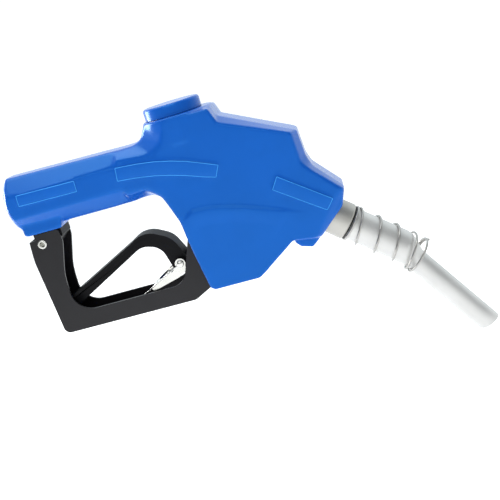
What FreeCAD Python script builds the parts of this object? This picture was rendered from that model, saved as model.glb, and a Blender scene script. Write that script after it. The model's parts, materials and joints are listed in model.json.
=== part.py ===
import FreeCAD, Part
import math
import os

# Automatic shut-off fuel nozzle: aluminium valve body in a moulded vinyl scuff cover,
# channel-section hand guard, trigger lever with hold-open clip, and a bent aluminium spout.
#
# Millimetres. +X runs along the handle from the hose inlet towards the outlet, +Z is up with
# the handle level, and Y is across. The origin is the centre of the hose inlet's end face.

V = FreeCAD.Vector
X_AXIS, Y_AXIS, Z_AXIS = V(1, 0, 0), V(0, 1, 0), V(0, 0, 1)
FIT = 0.05                      # radial running clearance of a moving shaft in its hole
GAP = 0.3                       # clearance between pieces that only pass each other

# ---- Cover -------------------------------------------------------------------------------
COVER_WALL = 3.5
GRIP_LENGTH = 112.0
GRIP_HALF_WIDTH = 24.5
GRIP_BOTTOM = -25.0
GRIP_TOP_REAR = 25.4
GRIP_TOP_FRONT = 22.4
GRIP_FLAT = 10.5                # half height of the grip's side flats, half width of its top at the rear
BODY_HALF_WIDTH = 30.0
POUCH_HALF_WIDTH = 26.0
FRONT_HALF_WIDTH = 25.0
CREST_HALF_WIDTH = 14.0
COVER_MOUTH_R = 17.0            # hole that the spout collar comes out of
SLOT_HALF_WIDTH = 15.6          # open rear of the pouch, where the guard and lever enter

# ---- Axes --------------------------------------------------------------------------------
VALVE_X = 166.0                 # main valve, square to the handle
SPOUT_SLOPE = math.radians(40.0)
TIP_SLOPE = math.radians(56.0)
PLUNGER_TILT = math.radians(20.0)
SPOUT_ORIGIN = V(298.0, 0, -106.0)
SPOUT_DIR = V(math.cos(SPOUT_SLOPE), 0, -math.sin(SPOUT_SLOPE))
SPOUT_UP = V(math.sin(SPOUT_SLOPE), 0, math.cos(SPOUT_SLOPE))
TIP_DIR = V(math.cos(TIP_SLOPE), 0, -math.sin(TIP_SLOPE))
PLUNGER_ORIGIN = V(229.6, 0, -8.8)
PLUNGER_DIR = V(-math.sin(PLUNGER_TILT), 0, -math.cos(PLUNGER_TILT))

# ---- Casting and main valve --------------------------------------------------------------
TUBE_R = 20.0
INLET_R = 12.06                 # wall of the 3/4 inch parallel pipe thread
INLET_LENGTH = 20.0
BORE_R = 11.5
CHAMBER_R = 26.0
CHAMBER_BORE_R = 20.4
CHAMBER_TOP = 33.0
SEAT_TOP = -14.0
SEAT_THICK = 6.0
STEM_R = 4.0
STEM_BOTTOM = -86.7
CAP_R = 25.4
CAP_BAND = 10.3
CAP_TOP = 48.5

# ---- Plunger and lever -------------------------------------------------------------------
PLUNGER_R = 6.0
PIVOT_DEPTH = 91.0              # lever pivot, along the plunger from the diaphragm face
PIVOT_R = 3.0
LEVER_HALF_WIDTH = 9.0
WEB_HALF_WIDTH = 6.0
CLIP_PIVOT = V(131.9, 0, -91.0)
CLIP_PIN_R = 2.0

# ---- Guard -------------------------------------------------------------------------------
GUARD_HALF_WIDTH = 15.2
GUARD_SHEET = 2.0
RIVET_POINT = V(18.0, 0, -39.3)
RIVET_R = 3.6
LUG_HALF_WIDTH = 9.0            # casting's lug at the guard's rear
LUG_CORNERS = [(15, -12), (15, -42), (20, -44.5), (28, -42.5), (35, -35), (35, -12)]

# ---- Spout -------------------------------------------------------------------------------
COLLAR_R = 16.6
BASE_R = 14.6
TIP_R = 10.3                    # 13/16 inch tip
SPOUT_WALL = 1.6
CHECK_SEAT_AT = -88.0           # places along the base axis from SPOUT_ORIGIN
CHECK_SEAT_THICK = 5.0
CHECK_FACE = CHECK_SEAT_AT + CHECK_SEAT_THICK + 0.1
COLLAR_FACE = -14.0
BEND_AT = 33.65
TIP_LENGTH = 115.5              # from the bend's vertex to the tip


def spout_point(along, up=0.0):
    """A point on the spout's base axis, moved square to it by up."""
    return SPOUT_ORIGIN + SPOUT_DIR * along + SPOUT_UP * up


def plunger_point(depth, side=0.0):
    """A point on the plunger's axis at a depth below the diaphragm face."""
    across = V(math.cos(PLUNGER_TILT), 0, -math.sin(PLUNGER_TILT))
    return PLUNGER_ORIGIN + PLUNGER_DIR * depth + across * side


PIVOT = plunger_point(PIVOT_DEPTH)
BEND = spout_point(BEND_AT)
VALVE = V(VALVE_X, 0, 0)


def cylinder(start, direction, radius, length):
    return Part.makeCylinder(radius, length, start, direction)


def tube(start, direction, outer, inner, length):
    """A pipe: its bore is cut right through."""
    return cylinder(start, direction, outer, length).cut(cylinder(start, direction, inner, length))


def across(centre, radius, half):
    """A cylinder along Y, centred on the mid-plane."""
    return cylinder(V(centre.x, -half, centre.z), Y_AXIS, radius, 2 * half)


def ring(centre, axis, mean, section):
    """A torus, for O-rings and rounded rims."""
    return Part.makeTorus(mean, section, centre, axis)


def corner_wire(corners, y):
    """A closed outline in the XZ plane at y. A corner is (x, z) or (x, z, radius)."""
    points = [V(c[0], y, c[1]) for c in corners]
    radii = [c[2] if len(c) > 2 else 0.0 for c in corners]
    count = len(points)
    edges, ends = [], []
    for i in range(count):
        here, before, after = points[i], points[i - 1], points[(i + 1) % count]
        if not radii[i]:
            ends.append((here, here, None))
            continue
        into, out = (before - here).normalize(), (after - here).normalize()
        half_turn = into.getAngle(out) / 2
        reach = radii[i] / math.tan(half_turn)
        bisector = (into + out).normalize()
        middle = here + bisector * (radii[i] / math.sin(half_turn) - radii[i])
        ends.append((here + into * reach, here + out * reach, middle))
    for i in range(count):
        start, end, middle = ends[i]
        if middle:
            edges.append(Part.Arc(start, middle, end).toShape())
        next_start = ends[(i + 1) % count][0]
        if (next_start - end).Length > 1e-6:
            edges.append(Part.LineSegment(end, next_start).toShape())
    return Part.Wire(edges)


def plate(corners, low, high):
    """An XZ outline extruded from y = low to y = high."""
    face = Part.Face(corner_wire(corners, low))
    return face.extrude(V(0, high - low, 0))


def slab(corners, half):
    return plate(corners, -half, half)


def both_sides(corners, inner, outer):
    """The same plate on both sides of the mid-plane, as two solids fused later or kept apart."""
    return plate(corners, inner, outer), plate(corners, -outer, -inner)


def coil(start, axis, mean, wire, length, turns):
    """A helical spring from start along axis."""
    path = Part.makeHelix(length / turns, length, mean)
    section = Part.Wire(Part.makeCircle(wire, V(mean, 0, 0), Y_AXIS))
    solid = Part.Wire(path.Edges).makePipeShell([section], True, True)
    solid.Placement = FreeCAD.Placement(start, FreeCAD.Rotation(Z_AXIS, axis))
    return solid


def fuse(shapes):
    return shapes[0].multiFuse(list(shapes[1:])).removeSplitter()


def inset(corners, distance):
    """The outline moved inwards by distance. Its corners run anticlockwise seen from -Y."""
    moved = []
    count = len(corners)
    for i in range(count):
        x0, z0 = corners[i - 1]
        x1, z1 = corners[i]
        x2, z2 = corners[(i + 1) % count]
        a = math.atan2(z1 - z0, x1 - x0)
        b = math.atan2(z2 - z1, x2 - x1)
        half = math.atan2(math.sin(b - a), math.cos(b - a)) / 2
        middle = a + half
        reach = distance / max(math.cos(half), 0.3)
        moved.append((x1 - reach * math.sin(middle), z1 + reach * math.cos(middle)))
    return moved


# ---- Cover outline -----------------------------------------------------------------------
# Corners of the cover's body seen from the side, anticlockwise from the crotch of the handle:
# (x, z) on the flat side, then (x, z) on the crest nearer the mid-plane.
COVER_CORNERS = [
    ((108, -10.5), (108, -25)),
    ((127, -13.5), (126, -23.5)),
    ((138.5, -25), (137, -27)),
    ((142.5, -36), (141.8, -35)),
    ((147.3, -51), (147.3, -51)),
    ((149.5, -78), (149.5, -78)),
    ((154.5, -116), (154.5, -116)),
    ((158, -119), (158, -119)),
    ((200, -119), (200, -119)),
    ((206.5, -115), (206.5, -115)),
    ((237, -93.8), (237, -93.8)),
    ((262, -98.5), (262, -98.5)),
    ((286.5, -77), (286.5, -77)),
    ((291.5, -63), (292, -61)),
    ((267.7, -38), (270.5, -36.5)),
    ((260.3, -30), (267.3, -27)),
    ((258.8, -2), (265.5, -3.5)),
    ((204, 22.5), (203, 27.5)),
    ((199, 36), (199.5, 37.5)),
    ((158, 36), (141, 37.5)),
    ((157, 29), (137.5, 33)),
    ((153, 19.5), (133.5, 26)),
    ((142, 12), (126, 22.6)),
    ((121, 10.5), (115, 22.3)),
    ((108, 10.5), (108, 22.5)),
]


def cover_body(shrink):
    """The cover's body without its handle, its faces moved inwards by shrink."""
    side = inset([pair[0] for pair in COVER_CORNERS], shrink)
    crest = inset([pair[1] for pair in COVER_CORNERS], shrink)
    wide = BODY_HALF_WIDTH - shrink
    stations = [(side, -wide), (crest, -CREST_HALF_WIDTH), (crest, CREST_HALF_WIDTH), (side, wide)]
    wires = [corner_wire(corners, y) for corners, y in stations]
    body = Part.makeLoft(wires, True, True)
    handle_half = GRIP_HALF_WIDTH - shrink
    front_half = FRONT_HALF_WIDTH - shrink
    plan = [(100, handle_half), (112, handle_half), (140, wide - 1), (156, wide), (205, wide)]
    plan.append((296, front_half))
    plan_points = [V(x, y, -150) for x, y in plan] + [V(x, -y, -150) for x, y in reversed(plan)]
    plan_face = Part.Face(Part.makePolygon(plan_points + plan_points[:1]))
    body = body.common(plan_face.extrude(V(0, 0, 250)))
    pouch = POUCH_HALF_WIDTH - shrink
    front = [(wide, 60), (wide, -52), (pouch, -121), (-pouch, -121), (-wide, -52), (-wide, 60)]
    front_points = [V(90, y, z) for y, z in front]
    front_face = Part.Face(Part.makePolygon(front_points + front_points[:1]))
    body = body.common(front_face.extrude(V(220, 0, 0)))
    nose = [(-320, wide + 5), (-70, wide + 5), (-70, front_half + 3), (-38, front_half + 1.2)]
    nose += [(-31, front_half - 4), (-10, front_half - 4)]
    nose_points = [spout_point(along, -150) + Y_AXIS * y for along, y in nose]
    nose_points += [spout_point(along, -150) - Y_AXIS * y for along, y in reversed(nose)]
    nose_face = Part.Face(Part.makePolygon(nose_points + nose_points[:1]))
    return body.common(nose_face.extrude(SPOUT_UP * 400))


def grip_solid(grow, length):
    """The grip: an octagon whose top falls a little and widens to the body's crest towards the front.

    It is grown sideways by grow."""
    wires = []
    for x in (0, length):
        forward = x / GRIP_LENGTH
        top = GRIP_TOP_REAR + (GRIP_TOP_FRONT - GRIP_TOP_REAR) * forward
        crest = GRIP_FLAT + (CREST_HALF_WIDTH - GRIP_FLAT) * forward
        half = GRIP_HALF_WIDTH + grow
        right_side = [(half, -GRIP_FLAT), (half, GRIP_FLAT), (crest, top)]
        left_side = [(-crest, top), (-half, GRIP_FLAT), (-half, -GRIP_FLAT)]
        bottom = [(-crest, GRIP_BOTTOM), (crest, GRIP_BOTTOM)]
        points = [V(x, y, z) for y, z in right_side + left_side + bottom]
        wires.append(Part.makePolygon(points + points[:1]))
    return Part.makeLoft(wires, True, True)


LABEL_RAISE = 0.7
LABELS = {
    "handle": [(14, 0.5), (68, 0.5), (68.6, 10), (14.6, 10)],
    "middle": [(105.5, -2), (122, -3), (139, -5), (152, -8.3), (164.5, -12), (189.5, -20.5),
               (194.3, -11), (168.5, -0.5), (156, 3.3), (142.5, 6.4), (126, 8.3), (107, 9.5)],
    "front": [(232.6, -44.5), (272.8, -74.5), (279.8, -66.3), (239, -34.7)],
}


def scuff_cover():
    """One-piece moulded cover: octagonal grip, body, pouch, chin and blank raised label pads."""
    grip = grip_solid(0, GRIP_LENGTH)
    rear_chamfer = Part.makeCone(20.8, 30.0, 7.0, V(0, 0, 0), X_AXIS)
    grip = grip.common(fuse([rear_chamfer, cylinder(V(7.0, 0, 0), X_AXIS, 30.0, GRIP_LENGTH)]))
    collar = cylinder(V(VALVE_X + 2.5, 0, 15), Z_AXIS, 31.2, 23.2)
    collar = collar.common(Part.makeBox(80, 2 * BODY_HALF_WIDTH + 1.6, 60, V(125, -BODY_HALF_WIDTH - 0.8, 0)))
    lug_skirt = slab([(5.5, -19), (5.5, -28), (9, -29.3), (41, -29.3), (43.5, -19)], 17.5)
    chin = slab([(236, -88), (238, -99), (242, -103.5), (252, -106.5), (258.5, -101.5), (264, -96),
                 (262, -84)], 17.5)
    outside = fuse([grip, cover_body(0.0), collar, lug_skirt, chin])
    cavity = fuse([
        cover_body(COVER_WALL),
        cylinder(V(-1, 0, 0), X_AXIS, TUBE_R + 0.5, 150),
        cylinder(V(VALVE_X, 0, 10), Z_AXIS, 26.5, 25.5),
        cylinder(V(VALVE_X, 0, 10), Z_AXIS, 23.0, 50),
    ])
    shell = outside.cut(cavity)
    slot = slab([(120, -50), (161, -50), (161, -113.5), (155, -120), (120, -126)], SLOT_HALF_WIDTH)
    lug_hole = slab([(11.5, -12), (39, -12), (39, -40), (11.5, -40)], 13.3)
    mouth = cylinder(spout_point(-70), SPOUT_DIR, COVER_MOUTH_R, 60)
    shell = shell.cut(fuse([slot, lug_hole])).cut(mouth)
    pads = []
    for name, corners in LABELS.items():
        half = GRIP_HALF_WIDTH if name == "handle" else BODY_HALF_WIDTH
        for low, high in ((-half - LABEL_RAISE, half * -0.82), (half * 0.82, half + LABEL_RAISE)):
            pads.append(plate(corners, low, high))
    skin = cover_body(-LABEL_RAISE).fuse(grip_solid(LABEL_RAISE, 125))
    pads = [pad.common(skin).cut(cavity) for pad in pads]
    return shell.multiFuse(pads).removeSplitter()


def cap_cover():
    """Moulded disc that snaps over the main valve cap."""
    disc = cylinder(V(VALVE_X, 0, CAP_TOP - CAP_BAND), Z_AXIS, CAP_R, CAP_BAND)
    rim = [edge for edge in disc.Edges if abs(edge.BoundBox.ZMin - CAP_TOP) < 1e-3 and edge.Length > 50]
    disc = disc.makeFillet(2.5, rim)
    pocket = cylinder(V(VALVE_X, 0, CAP_TOP - CAP_BAND - 1), Z_AXIS, 22.6, CAP_BAND - 2.5)
    return disc.cut(pocket)


# ---- Casting -----------------------------------------------------------------------------
def valve_body():
    """Aluminium casting: inlet tube, valve chamber, outlet barrel, latch sleeve and cheeks."""
    web = slab([(160, 24), (196, 17), (226, 4), (240, -4), (250, -40), (262, -80), (236, -84),
                (205, -58), (150, -44)], 19.5)
    boss = cylinder(plunger_point(0), PLUNGER_DIR, 24.0, 24)
    barrel = cylinder(spout_point(-98), SPOUT_DIR, 20.0, 66)
    chamber = cylinder(V(VALVE_X, 0, -42), Z_AXIS, CHAMBER_R, CHAMBER_TOP + 42)
    gland = cylinder(V(VALVE_X, 0, -56), Z_AXIS, 11.0, 20)
    tube_part = cylinder(V(0, 0, 0), X_AXIS, TUBE_R, 150)
    sleeve = cylinder(plunger_point(40), PLUNGER_DIR, 12.0, 39.5)
    lug = slab(LUG_CORNERS, LUG_HALF_WIDTH)
    cheek_corners = [(153, -40), (214, -52), (224, -74), (208, -104), (176, -104), (160, -103.5),
                     (155.5, -96), (155, -84)]
    cheeks = both_sides(cheek_corners, 9.8, 12.9)
    outside = fuse([web, boss, barrel, chamber, gland, tube_part, sleeve, lug, cheeks[0], cheeks[1]])
    inside = cover_body(COVER_WALL + 0.4)
    front = outside.common(inside)
    rear = outside.common(Part.makeBox(122, 60, 130, V(0, -30, -70)))
    chamber_top = chamber.common(Part.makeBox(80, 80, 60, V(126, -40, 5)))
    casting = fuse([front, rear, chamber_top])

    passage = slab([(166, -20), (222, -20), (240, -40), (230, -54), (212, -42), (166, -34)], 15.0)
    outlet = cylinder(spout_point(CHECK_SEAT_AT), SPOUT_DIR, 14.0, 70)
    casting = casting.cut(fuse([
        passage,
        outlet,
        cylinder(VALVE + V(0, 0, SEAT_TOP), Z_AXIS, CHAMBER_BORE_R, 60),
        cylinder(VALVE + V(0, 0, SEAT_TOP - SEAT_THICK), Z_AXIS, 15.0, 20),
        cylinder(VALVE + V(0, 0, -34), Z_AXIS, 13.0, 20),
        cylinder(V(0, 0, 0), X_AXIS, BORE_R, 150),
    ]))
    core = cylinder(plunger_point(4), PLUNGER_DIR, 8.5, 60)
    casting = fuse([casting, core])
    casting = casting.cut(fuse([
        cylinder(V(-1, 0, 0), X_AXIS, INLET_R, INLET_LENGTH + 1),
        cylinder(VALVE + V(0, 0, -60), Z_AXIS, STEM_R + FIT, 40),
        cylinder(VALVE + V(0, 0, -60), Z_AXIS, 7.0, 20),
        cylinder(plunger_point(-10), PLUNGER_DIR, 17.5, 18),
        cylinder(plunger_point(-25), PLUNGER_DIR, 24.4, 25),
        cylinder(plunger_point(0), PLUNGER_DIR, PLUNGER_R + FIT, 120),
        cylinder(plunger_point(57), PLUNGER_DIR, 9.2, 40),
        across(RIVET_POINT, RIVET_R, 20),
        across(GUARD_SCREW, 2.6, 20),
    ] + screw_holes()))
    return max(casting.Solids, key=lambda s: s.Volume)


GUARD_SCREW = V(161.5, 0, -97.0)
CAP_SCREW_CIRCLE = 20.8


def screw_places():
    """Centres of the four diaphragm cap screws, on the diaphragm face."""
    side = V(math.cos(PLUNGER_TILT), 0, -math.sin(PLUNGER_TILT))
    places = []
    for quarter in range(4):
        turn = math.radians(45 + 90 * quarter)
        places.append(side * (CAP_SCREW_CIRCLE * math.cos(turn)) + Y_AXIS * (CAP_SCREW_CIRCLE * math.sin(turn)))
    return places


def screw_holes():
    return [cylinder(plunger_point(-2) + place, PLUNGER_DIR, 1.55, 14) for place in screw_places()]


def lug_sleeve():
    """Black moulded sleeve that fills the space between the casting's lug and the guard's plates."""
    block = slab([(12, -29.5), (12, -44), (18, -47), (30, -44), (38.3, -36), (38.3, -29.5)], 13.0)
    pocket = slab(LUG_CORNERS, LUG_HALF_WIDTH)
    return block.cut(pocket).cut(across(RIVET_POINT, RIVET_R, 20))


def main_cap():
    """Plug that closes the valve chamber and seats the main spring."""
    flange = cylinder(VALVE + V(0, 0, CHAMBER_TOP), Z_AXIS, 22.2, 12)
    plug = cylinder(VALVE + V(0, 0, 17), Z_AXIS, CHAMBER_BORE_R - FIT, CHAMBER_TOP - 17)
    body = fuse([flange, plug])
    pocket = cylinder(VALVE + V(0, 0, 10), Z_AXIS, 10.5, 22)
    groove = tube(VALVE + V(0, 0, 27), Z_AXIS, 21, 18.2, 3)
    slot = Part.makeBox(30, 5, 3, V(VALVE_X - 15, -2.5, CHAMBER_TOP + 9.5))
    return body.cut(pocket).cut(groove).cut(slot)


def main_seat():
    seat = tube(VALVE + V(0, 0, SEAT_TOP - SEAT_THICK), Z_AXIS, 15.0, 9.5, SEAT_THICK)
    return seat.cut(tube(VALVE + V(0, 0, SEAT_TOP - 1.5), Z_AXIS, 20, 12.6, 2))


SEAL_BASE = SEAT_TOP + 0.1


def poppet_seal():
    return tube(VALVE + V(0, 0, SEAL_BASE), Z_AXIS, 12.6, STEM_R, 2.5)


def main_poppet():
    """Disc and spring boss on the stem."""
    disc = cylinder(VALVE + V(0, 0, SEAL_BASE + 2.5), Z_AXIS, 13.4, 4)
    boss = cylinder(VALVE + V(0, 0, SEAL_BASE + 6.5), Z_AXIS, 6.2, 4)
    return fuse([disc, boss]).cut(cylinder(VALVE + V(0, 0, -20), Z_AXIS, STEM_R, 30))


def valve_stem():
    top = SEAL_BASE + 13.0
    foot = STEM_BOTTOM + STEM_R
    stem = cylinder(VALVE + V(0, 0, foot), Z_AXIS, STEM_R, top - foot)
    return fuse([stem, Part.makeSphere(STEM_R, VALVE + V(0, 0, foot))])


def stem_nut():
    """Nut that holds the poppet on the stem, above the spring boss."""
    points = [V(VALVE_X + 6.0 * math.cos(math.radians(60 * k)), 6.0 * math.sin(math.radians(60 * k)),
                SEAL_BASE + 10.5) for k in range(6)]
    nut = Part.Face(Part.makePolygon(points + points[:1])).extrude(V(0, 0, 2.4))
    return nut.cut(cylinder(VALVE + V(0, 0, -20), Z_AXIS, STEM_R, 40))


def stem_packing():
    return tube(VALVE + V(0, 0, -47), Z_AXIS, 6.95, STEM_R + FIT, 6.5)


def packing_nut():
    """Gland nut screwed up into the casting around the stem."""
    thread = cylinder(VALVE + V(0, 0, -56), Z_AXIS, 6.95, 9)
    points = [V(VALVE_X + 10.5 * math.cos(math.radians(60 * k)), 10.5 * math.sin(math.radians(60 * k)),
                -62) for k in range(6)]
    head = Part.Face(Part.makePolygon(points + points[:1])).extrude(V(0, 0, 6))
    head = head.common(Part.makeBox(40, 18.8, 20, V(VALVE_X - 20, -9.4, -70)))
    return fuse([thread, head]).cut(cylinder(VALVE + V(0, 0, -70), Z_AXIS, STEM_R + FIT, 30))


# ---- Diaphragm and latch -----------------------------------------------------------------
def diaphragm_cap():
    cap = cylinder(plunger_point(-13), PLUNGER_DIR, 24.0, 11.8)
    cap = cap.cut(cylinder(plunger_point(-10), PLUNGER_DIR, 17.0, 10))
    for place in screw_places():
        cap = cap.cut(cylinder(plunger_point(-14) + place, PLUNGER_DIR, 2.1, 14))
        cap = cap.cut(cylinder(plunger_point(-14) + place, PLUNGER_DIR, 3.1, 3.4))
    return max(cap.Solids, key=lambda s: s.Volume)


def diaphragm_cap_screws():
    screws = []
    for place in screw_places():
        head = cylinder(plunger_point(-13) + place, PLUNGER_DIR, 3.0, 2.4)
        shank = cylinder(plunger_point(-11) + place, PLUNGER_DIR, 1.5, 20)
        screws.append(fuse([head, shank]))
    return Part.makeCompound(screws)


def diaphragm():
    disc = tube(plunger_point(-1.2), PLUNGER_DIR, 23.6, 2.5, 1.2)
    for place in screw_places():
        disc = disc.cut(cylinder(plunger_point(-3) + place, PLUNGER_DIR, 2.0, 6))
    return disc


def diaphragm_plates():
    """Washers above and below the diaphragm's centre."""
    upper = tube(plunger_point(-2.6), PLUNGER_DIR, 12.0, 2.5, 1.4)
    lower = tube(plunger_point(0), PLUNGER_DIR, 12.0, 2.5, 1.4)
    return Part.makeCompound([upper, lower])


def latch_pin():
    """Pin that hangs from the diaphragm and wedges the latch balls."""
    pin = cylinder(plunger_point(-4.2), PLUNGER_DIR, 2.5, 29.2)
    head = cylinder(plunger_point(-5.0), PLUNGER_DIR, 4.0, 2.4)
    point = Part.makeCone(2.5, 1.2, 5, plunger_point(25), PLUNGER_DIR)
    return fuse([pin, head, point])


def latch_balls():
    """Three balls in the plunger's cross holes."""
    side = V(math.cos(PLUNGER_TILT), 0, -math.sin(PLUNGER_TILT))
    balls = []
    for third in range(3):
        turn = math.radians(120 * third)
        offset = side * (4.3 * math.cos(turn)) + Y_AXIS * (4.3 * math.sin(turn))
        balls.append(Part.makeSphere(1.5, plunger_point(24) + offset))
    return Part.makeCompound(balls)


def plunger():
    """Latch plunger: drilled top for the latch pin, spring shoulder, and cross hole for the lever pin."""
    rod = cylinder(plunger_point(14), PLUNGER_DIR, PLUNGER_R, PIVOT_DEPTH + 6 - 14)
    shoulder = cylinder(plunger_point(59), PLUNGER_DIR, 8.6, 2)
    body = fuse([rod, shoulder])
    body = body.cut(cylinder(plunger_point(10), PLUNGER_DIR, 2.5 + 2 * FIT, 25))
    side = V(math.cos(PLUNGER_TILT), 0, -math.sin(PLUNGER_TILT))
    for third in range(3):
        turn = math.radians(120 * third)
        outward = side * math.cos(turn) + Y_AXIS * math.sin(turn)
        body = body.cut(cylinder(plunger_point(24), outward, 1.6, 8))
    return body.cut(across(PIVOT, PIVOT_R, 20))


def plunger_retainer():
    """Ring at the foot of the sleeve that the plunger spring stands on."""
    ring_part = tube(plunger_point(76), PLUNGER_DIR, 9.15, PLUNGER_R + FIT, 3.5)
    flange = tube(plunger_point(79.5), PLUNGER_DIR, 9.7, PLUNGER_R + FIT, 1.2)
    return fuse([ring_part, flange])


# ---- Lever and clip ----------------------------------------------------------------------
LEVER_OUTLINE = [(19, -97.2, 2), (91.5, -62.9, 24), (108.5, -53.6, 22), (131, -66.0, 20), (141, -88, 8),
                 (207, -88, 5), (207, -101, 5), (133, -102, 8), (124, -95, 4), (118.6, -72.5, 15),
                 (101.5, -67.7, 15), (24, -107, 4)]
FLANGE = 3.2


def lever():
    """Cast trigger lever: finger flange over a narrower web, fork at the front around the plunger."""
    outline = slab(LEVER_OUTLINE, LEVER_HALF_WIDTH)
    core = slab([(c[0], c[1] - FLANGE) + tuple(c[2:]) for c in LEVER_OUTLINE], 30)
    flange = outline.cut(core)
    web = slab(LEVER_OUTLINE, WEB_HALF_WIDTH)
    front = outline.common(Part.makeBox(80, 40, 40, V(146, -20, -120)))
    body = fuse([max(flange.Solids, key=lambda s: s.Volume), web, front])
    pocket_half = PLUNGER_R + GAP
    fork_slot = Part.makeBox(40, 2 * pocket_half, 40, V(186, -pocket_half, -125))
    body = body.cut(fork_slot)
    return body.cut(across(PIVOT, PIVOT_R + FIT, 20)).cut(across(CLIP_PIVOT, CLIP_PIN_R, 20))


def lever_pin():
    pin = across(PIVOT, PIVOT_R, 9.3)
    return pin


def lever_pad():
    """Hardened wear pad under the valve stem."""
    return Part.makeBox(14, 12, 1.0, V(VALVE_X - 8, -6, -88.0))


CLIP_PLATE_IN, CLIP_PLATE_OUT = 9.9, 11.1
CLIP_OUTLINE = [(136.2, -89.6, 2.5), (135.6, -98.5, 4), (127, -103.2, 6), (101.5, -109.6, 0.6), (99.6, -107, 0.6),
                (119.6, -95.2), (122.4, -97.2, 1), (127.2, -92.5, 1)]


def hold_open_clip():
    """Stamped clip: two side plates round the lever, joined by a bar near the tip."""
    sides = []
    for low, high in ((-CLIP_PLATE_OUT, -CLIP_PLATE_IN), (CLIP_PLATE_IN, CLIP_PLATE_OUT)):
        blade = plate(CLIP_OUTLINE, low, high)
        head = cylinder(V(CLIP_PIVOT.x, low, CLIP_PIVOT.z), Y_AXIS, 4.8, high - low)
        sides.append(fuse([blade, head]))
    bar = slab([(101.5, -109.6), (99.6, -107), (104.5, -104.2), (110, -107.4)], CLIP_PLATE_OUT)
    body = fuse(sides + [bar])
    return body.cut(across(CLIP_PIVOT, CLIP_PIN_R + FIT, 20))


def clip_pin():
    """Pin through lever and clip, with a head on the near side."""
    pin = across(CLIP_PIVOT, CLIP_PIN_R, 12.6)
    head = cylinder(V(CLIP_PIVOT.x, -12.9, CLIP_PIVOT.z), Y_AXIS, 2.9, 0.5)
    return fuse([pin, head])


def clip_spring():
    """Torsion spring on the pin, with one long leg along the lever's window."""
    wire = 0.5
    loop = ring(V(CLIP_PIVOT.x, -11.8, CLIP_PIVOT.z), Y_AXIS, 2.8, wire)
    loop_two = ring(V(CLIP_PIVOT.x, 11.8, CLIP_PIVOT.z), Y_AXIS, 2.8, wire)
    start = V(CLIP_PIVOT.x - 1.4, -11.8, CLIP_PIVOT.z + 2.4)
    end = V(91.5, -11.8, -110.4)
    leg = cylinder(start, end - start, wire, (end - start).Length)
    return Part.makeCompound([fuse([loop, leg]), loop_two])


# ---- Guard -------------------------------------------------------------------------------
GUARD_OUTLINE = [(13.2, -29.6), (36.5, -29.6, 3), (37.2, -41, 20), (27.5, -72, 60), (25.5, -109.6, 19),
                 (130.6, -109.6, 16), (149.5, -62), (166, -62), (168, -106), (153, -118.6), (137, -126.5, 10),
                 (9.5, -126.5, 6), (5.2, -53, 60), (7, -34.6), (13.2, -34.6)]
GUARD_HOLLOW = [(-5, -20), (7.2, -34.6), (7.2, -53, 50), (11.6, -124.5, 4), (136.4, -124.5, 10),
                (152.4, -116.4), (160, -110.6), (172, -110), (172, -20)]


def hand_guard():
    """Pressed channel, open towards the hand, with a window in its floor under the clip."""
    outline = slab(GUARD_OUTLINE, GUARD_HALF_WIDTH)
    hollow = slab(GUARD_HOLLOW, GUARD_HALF_WIDTH - GUARD_SHEET)
    guard = outline.cut(hollow)
    guard = guard.cut(Part.makeBox(42, 24.8, 10, V(97, -12.4, -130)))
    guard = guard.cut(across(RIVET_POINT, RIVET_R, 30))
    return guard.cut(across(GUARD_SCREW, 2.6, 30))


def guard_rivet():
    """Tubular rivet through the guard and the casting's rear lug."""
    body = across(RIVET_POINT, RIVET_R, GUARD_HALF_WIDTH + 0.2)
    for sign in (-1, 1):
        rim = cylinder(V(RIVET_POINT.x, sign * (GUARD_HALF_WIDTH + 0.4) - 0.4, RIVET_POINT.z), Y_AXIS, 4.1, 0.8)
        body = body.fuse(rim)
    return body.cut(across(RIVET_POINT, 2.4, 30)).removeSplitter()


def guard_screw():
    """Screw and nut through the guard's front arm and the casting's cheeks."""
    halves = []
    for sign in (-1, 1):
        low = min(sign * 9.9, sign * (GUARD_HALF_WIDTH + 0.1))
        shank = cylinder(V(GUARD_SCREW.x, low, GUARD_SCREW.z), Y_AXIS, 2.5, GUARD_HALF_WIDTH + 0.1 - 9.9)
        rim_low = GUARD_HALF_WIDTH if sign > 0 else -GUARD_HALF_WIDTH - 2.4
        head = cylinder(V(GUARD_SCREW.x, rim_low, GUARD_SCREW.z), Y_AXIS, 4.6, 2.4)
        halves.append(fuse([shank, head]))
    return Part.makeCompound(halves)


# ---- Outlet and spout --------------------------------------------------------------------
def check_seat():
    """Bored plug at the entry of the outlet barrel."""
    return tube(spout_point(CHECK_SEAT_AT), SPOUT_DIR, 13.95, 8.5, CHECK_SEAT_THICK)


def check_poppet():
    """Outlet check valve, guided by its tail."""
    disc = cylinder(spout_point(CHECK_FACE), SPOUT_DIR, 11.0, 3)
    tail = cylinder(spout_point(CHECK_FACE + 3), SPOUT_DIR, 2.5, 24)
    return fuse([disc, tail])


def check_guide():
    """Three-armed spider that guides the check valve's tail."""
    hub = tube(spout_point(-63), SPOUT_DIR, 5.0, 2.5 + FIT, 4)
    rim = tube(spout_point(-63), SPOUT_DIR, 13.95, 11.0, 4)
    arms = []
    for third in range(3):
        turn = math.radians(90 + 120 * third)
        outward = SPOUT_UP * math.cos(turn) + Y_AXIS * math.sin(turn)
        arms.append(cylinder(spout_point(-61) + outward * 4.2, outward, 1.6, 8))
    return fuse([hub, rim] + arms)


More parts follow.
